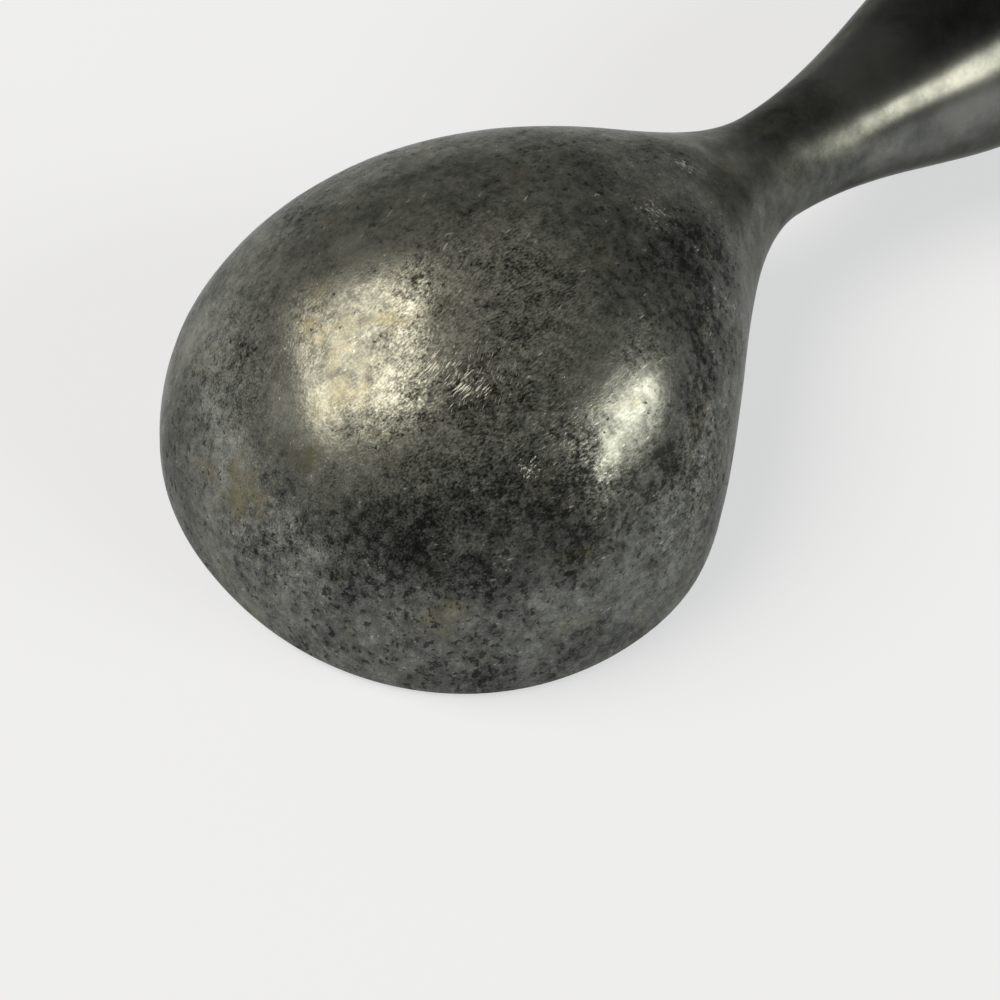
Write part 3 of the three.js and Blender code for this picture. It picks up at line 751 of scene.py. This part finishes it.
def turnedAluminium(look):
    material, tree, mm = startMaterial("turned_aluminium")
    # a ring every fifth of a mm, a little coarser than a real tool mark so that it shows;
    # at a scale of 1 the wave texture draws one every ringUnit
    centred = addNode(tree, "ShaderNodeMapping", {"vector_type": "TEXTURE"}, {
        "Vector": mm, "Location": (0, 0, look["axis"])}).outputs["Vector"]
    rings = addNode(tree, "ShaderNodeTexWave", {
        "wave_type": "RINGS", "rings_direction": "X", "wave_profile": "SIN"}, {
        "Vector": centred, "Scale": look["ringUnit"] / look["ringSpacing"],
        "Distortion": look["ringWander"], "Detail": 1.0}).outputs["Fac"]
    grime = addNode(tree, "ShaderNodeTexNoise", {}, {
        "Vector": mm, "Scale": 1 / look["grimeSize"], "Detail": 5.0, "Roughness": 0.65}).outputs["Fac"]
    film = addNode(tree, "ShaderNodeMapRange", {"interpolation_type": "SMOOTHSTEP"}, {
        "Value": grime, "From Min": look["grimeEdge"][0], "From Max": look["grimeEdge"][1],
        "To Max": look["grimeMost"]}).outputs["Result"]
    colour = addNode(tree, "ShaderNodeMix", {"data_type": "RGBA"}, {
        0: film, 6: hexColour(look["metal"]), 7: hexColour(look["grime"])}).outputs[2]
    sheen = addNode(tree, "ShaderNodeMapRange", {}, {
        "Value": film, "To Min": look["sheen"][0], "To Max": look["sheen"][1]}).outputs["Result"]
    relief = addNode(tree, "ShaderNodeMath", {"operation": "MULTIPLY"}, {0: rings, 1: look["ringDepth"]}).outputs[0]
    bump = addNode(tree, "ShaderNodeBump", {}, {"Height": relief, "Distance": 0.001, "Strength": 1.0})
    finishMaterial(tree, {
        "Base Color": colour, "Metallic": look["metallic"], "Roughness": sheen, "Normal": bump.outputs["Normal"]})
    return material


endPlug(plugShape, turnedAluminium(plugLook))

# seal: a round rubber ring in the plug's groove

sealShape = {"x": 144.0, "ringRadius": 8.3, "section": 1.0, "axis": 13.8, "sectionSides": 24, "sides": 128}


def plugSeal(s, material):
    bm = bmesh.new()
    place = Matrix.Translation((s["x"], 0, s["axis"] + s["ringRadius"])) @ Matrix.Rotation(quarterTurn, 4, "X")
    bmesh.ops.create_circle(bm, cap_ends=False, segments=s["sectionSides"], radius=s["section"], matrix=place)
    bmesh.ops.spin(bm, geom=bm.verts[:] + bm.edges[:], cent=(0, 0, s["axis"]), axis=(1, 0, 0), dvec=(0, 0, 0),
                   angle=2 * math.pi, steps=s["sides"], use_merge=True, use_duplicate=False)
    finishPiece("rubber_ring", bm, material, "plug_seal")


# nitrile rubber, moulded: near black and matt, with a faint bloom
sealLook = {
    "rubber": "#1a1a1a", "bloom": "#2c2c2b", "bloomSize": 1.5, "skinSize": 0.12, "skinDepth": 0.004,
    "sheen": 0.62, "ior": 1.52,
}


def nitrileRubber(look):
    material, tree, mm = startMaterial("nitrile_rubber")
    cloud = addNode(tree, "ShaderNodeTexNoise", {}, {
        "Vector": mm, "Scale": 1 / look["bloomSize"], "Detail": 4.0}).outputs["Fac"]
    colour = addNode(tree, "ShaderNodeMix", {"data_type": "RGBA"}, {
        0: cloud, 6: hexColour(look["rubber"]), 7: hexColour(look["bloom"])}).outputs[2]
    skin = addNode(tree, "ShaderNodeTexNoise", {}, {
        "Vector": mm, "Scale": 1 / look["skinSize"], "Detail": 2.0}).outputs["Fac"]
    relief = addNode(tree, "ShaderNodeMath", {"operation": "MULTIPLY"}, {0: skin, 1: look["skinDepth"]}).outputs[0]
    bump = addNode(tree, "ShaderNodeBump", {}, {"Height": relief, "Distance": 0.001, "Strength": 1.0})
    finishMaterial(tree, {
        "Base Color": colour, "Roughness": look["sheen"], "IOR": look["ior"], "Normal": bump.outputs["Normal"]})
    return material


plugSeal(sealShape, nitrileRubber(sealLook))

# liquid: fills the bore to a level a little below its top

fluidShape = {
    "tip": 71.3, "tipRadius": 7.21, "tipFullness": 0.98, "parallel": 133.0, "end": 136.7, "radius": 9.3,
    "level": 18.4, "axis": 13.8, "sides": 96, "roundSteps": 10,
}


def heatFluid(s, material):
    corners = [
        (s["tip"], 0, 0), (s["tip"], s["tipRadius"], s["tipRadius"] * s["tipFullness"]),
        (s["parallel"], s["radius"], 0), (s["end"], s["radius"], 0), (s["end"], 0, 0),
    ]
    bm = turnedPiece(corners, s["axis"], s["sides"], s["roundSteps"])
    bmesh.ops.remove_doubles(bm, verts=bm.verts, dist=weldGap)
    cut = bmesh.ops.bisect_plane(bm, geom=bm.verts[:] + bm.edges[:] + bm.faces[:], dist=0.0001,
                                 plane_co=(0, 0, s["level"]), plane_no=(0, 0, 1), clear_outer=True)
    bmesh.ops.holes_fill(bm, edges=[g for g in cut["geom_cut"] if isinstance(g, bmesh.types.BMEdge)])
    finishPiece("warm_liquid", bm, material, "heat_fluid")


# water and glycol: clear and pale amber, a little deeper in colour where it has stood
fluidLook = {"pale": "#ecdca4", "deep": "#d9bf72", "driftSize": 14.0, "sheen": 0.04, "ior": 1.38, "clear": 0.85}


def amberLiquid(look):
    material, tree, mm = startMaterial("water_and_glycol")
    drift = addNode(tree, "ShaderNodeTexNoise", {}, {
        "Vector": mm, "Scale": 1 / look["driftSize"], "Detail": 2.0}).outputs["Fac"]
    colour = addNode(tree, "ShaderNodeMix", {"data_type": "RGBA"}, {
        0: drift, 6: hexColour(look["pale"]), 7: hexColour(look["deep"])}).outputs[2]
    finishMaterial(tree, {
        "Base Color": colour, "Roughness": look["sheen"], "IOR": look["ior"], "Transmission Weight": look["clear"]})
    return material


heatFluid(fluidShape, amberLiquid(fluidLook))

# stage: pale floor, two soft boxes and a dim room

stageLook = {
    "floorRadius": 1.0, "floorSides": 96, "floorDrop": 0.0001, "floorColour": "#a8acb6", "floorGlow": 0.56,
    "wallFoot": "#cfcfcf", "wall": [(0.07, "#9a9b9c"), (0.25, "#6e7072"), (0.6, "#5a5c5e")], "ceiling": "#3c3d3e",
    "target": (-0.064, 0.0, 0.015), "distance": 2.0,
}

# matt pale paper, part of its paleness shown to the eye and to reflections only, so that shadows on it stay light
floorMaterial, tree = startMaterial("pale_paper_floor")[:2]
rays = addNode(tree, "ShaderNodeLightPath", {}, {}).outputs
seen = rays["Is Camera Ray"]
for kind in ("Is Glossy Ray", "Is Transmission Ray"):
    seen = addNode(tree, "ShaderNodeMath", {"operation": "MAXIMUM"}, {0: seen, 1: rays[kind]}).outputs[0]
glow = addNode(tree, "ShaderNodeMath", {"operation": "MULTIPLY"}, {0: seen, 1: stageLook["floorGlow"]})
finishMaterial(tree, {
    "Base Color": hexColour(stageLook["floorColour"]), "Roughness": 0.9, "Specular IOR Level": 0.0,
    "Emission Color": (1, 1, 1, 1), "Emission Strength": glow.outputs[0]})
bm = bmesh.new()
bmesh.ops.create_circle(bm, cap_ends=True, segments=stageLook["floorSides"], radius=stageLook["floorRadius"],
                        matrix=Matrix.Translation((0, 0, -stageLook["floorDrop"])))
floorMesh = bpy.data.meshes.new("floor")
bm.to_mesh(floorMesh)
bm.free()
floor = bpy.data.objects.new("floor", floorMesh)
floorMesh.materials.append(floorMaterial)
bpy.context.scene.collection.objects.link(floor)

# room: pale low down, where it meets the floor, and dim overhead
world = bpy.data.worlds.new("dim_room")
bpy.context.scene.world = world
world.use_nodes = True
tree = world.node_tree
tree.nodes.clear()
sky = addNode(tree, "ShaderNodeTexCoord", {}, {})
height = addNode(tree, "ShaderNodeSeparateXYZ", {}, {"Vector": sky.outputs["Generated"]})
room = addNode(tree, "ShaderNodeValToRGB", {}, {"Fac": height.outputs["Z"]})
bands = room.color_ramp.elements
bands[0].position, bands[0].color = 0.0, hexColour(stageLook["wallFoot"])
bands[1].position, bands[1].color = 1.0, hexColour(stageLook["ceiling"])
for place, tone in stageLook["wall"]:
    bands.new(place).color = hexColour(tone)
glow = addNode(tree, "ShaderNodeBackground", {}, {"Color": room.outputs["Color"]})
addNode(tree, "ShaderNodeOutputWorld", {}, {"Surface": glow.outputs["Background"]})

cameraPlace = {
    "aim": (-0.064, 0.0, 0.008), "offset": (0.005567, -0.010316, 0.1678),
    "turn": -43.527, "tilt": 37.842, "roll": 3.257, "lens": 58.5, "sensor": 36.0, "nearest": 0.01,
}

# directions are given as right, away and up, seen from the camera
cameraTurn = math.radians(cameraPlace["turn"])
right = Vector((math.cos(cameraTurn), math.sin(cameraTurn), 0))
away = Vector((-math.sin(cameraTurn), math.cos(cameraTurn), 0))
softBoxes = {
    "left_window": {
        "direction": (-0.617, -0.005, 0.787), "size": (1.68, 1.32), "turn": 0.0,
        "radiance": 4.4, "colour": "#fff5e0"},
    "right_box": {
        "direction": (0.8815, -0.2115, 0.4226), "size": (1.16, 0.74), "turn": -14.0,
        "radiance": 6.0, "colour": "#fffcec"},
}
for name, box in softBoxes.items():
    light = bpy.data.lights.new(name, "AREA")
    light.shape = "RECTANGLE"
    light.size, light.size_y = box["size"]
    light.energy = box["radiance"] * math.pi * box["size"][0] * box["size"][1]
    light.color = hexColour(box["colour"])[:3]
    lamp = bpy.data.objects.new(name, light)
    toRight, toBack, up = box["direction"]
    towards = (right * toRight + away * toBack + Vector((0, 0, up))).normalized()
    lamp.location = Vector(stageLook["target"]) + towards * stageLook["distance"]
    aimed = towards.to_track_quat("Z", "Y").to_matrix() @ Matrix.Rotation(math.radians(box["turn"]), 3, "Z")
    lamp.rotation_euler = aimed.to_euler()
    bpy.context.scene.collection.objects.link(lamp)
print("stage set:", len(softBoxes), "soft boxes")

turnBack = Matrix.Rotation(cameraTurn, 4, "Z") @ Matrix.Rotation(math.radians(cameraPlace["tilt"]), 4, "X")
turnBack = turnBack @ Matrix.Rotation(math.radians(cameraPlace["roll"]), 4, "Z")
cameraData = bpy.data.cameras.new("camera")
cameraData.lens = cameraPlace["lens"]
cameraData.sensor_width = cameraPlace["sensor"]
cameraData.clip_start = cameraPlace["nearest"]
camera = bpy.data.objects.new("camera", cameraData)
cameraSpot = Vector(cameraPlace["aim"]) + turnBack @ Vector(cameraPlace["offset"])
camera.matrix_world = Matrix.Translation(cameraSpot) @ turnBack
bpy.context.scene.collection.objects.link(camera)
bpy.context.scene.camera = camera
bpy.context.scene.view_settings.view_transform = "Standard"
